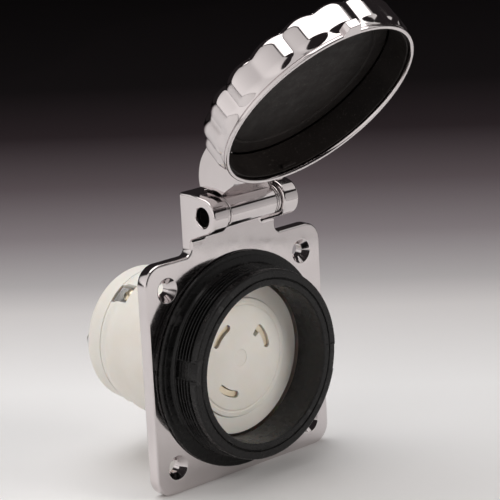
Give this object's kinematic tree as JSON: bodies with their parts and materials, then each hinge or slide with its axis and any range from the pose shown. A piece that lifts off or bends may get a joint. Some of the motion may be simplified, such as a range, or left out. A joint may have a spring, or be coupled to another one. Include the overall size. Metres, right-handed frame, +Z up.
{
  "type": "flanged locking power receptacle",
  "caption": "Flush-mount round locking power receptacle on a square polished flange, with a threaded collar and a hinged, fluted, twist-lock cap shown open.",
  "frame": {"origin": "on the collar's axis, in the plane of the flange plate's back face, which is the wall plane", "axes": "+X to the right seen from the front, +Y out of the back into the wall, +Z up, towards the hinge"},
  "size_m": [0.0826, 0.1297, 0.173],
  "materials": {
    "polished_steel": "mirror-polished cast stainless steel",
    "black_plastic": "satin black moulded nylon",
    "white_nylon": "warm white moulded nylon, slightly translucent",
    "black_rubber": "matt dark brown-black rubber",
    "brass": "bright brass",
    "zinc_steel": "zinc-plated steel"
  },
  "bodies": {
    "receptacle": {"flange_plate": "polished_steel", "hinge_pin": "polished_steel", "hinge_washer_left": "polished_steel", "hinge_washer_right_inner": "polished_steel", "hinge_washer_right_outer": "polished_steel", "threaded_collar": "black_plastic", "collar_seal": "black_rubber", "plate_seal": "black_rubber", "collar_screw_1": "zinc_steel", "collar_screw_2": "zinc_steel", "collar_screw_3": "zinc_steel", "collar_screw_4": "zinc_steel", "insulator_face": "white_nylon", "contact_carrier": "white_nylon", "line_contact_a": "brass", "line_contact_b": "brass", "neutral_contact": "brass", "terminal_clamp_a": "zinc_steel", "terminal_clamp_b": "zinc_steel", "terminal_clamp_c": "zinc_steel", "terminal_screw_a": "brass", "terminal_screw_b": "brass", "terminal_screw_c": "brass", "rear_housing": "white_nylon", "rear_cover": "white_nylon", "cover_screw_1": "zinc_steel", "cover_screw_2": "zinc_steel"},
    "lid_arm": {"hinge_arm": "polished_steel", "cap_rivet": "polished_steel", "swivel_washer": "polished_steel"},
    "cap": {"cap_shell": "polished_steel", "cap_liner": "black_rubber", "cap_pad": "black_rubber"}
  },
  "joints": [
    {"name": "lid_hinge", "type": "hinge", "parent": "receptacle", "child": "lid_arm", "pos_m": [0, -0.0112, 0.0557], "axis": [1, 0, 0], "range_deg": [-5, 139.2]},
    {"name": "cap_turn", "type": "hinge", "parent": "lid_arm", "child": "cap", "pos_m": [0, -0.05093, 0.09499], "axis": [0, 0.757, 0.6534], "range_deg": [0, 92]}
  ]
}
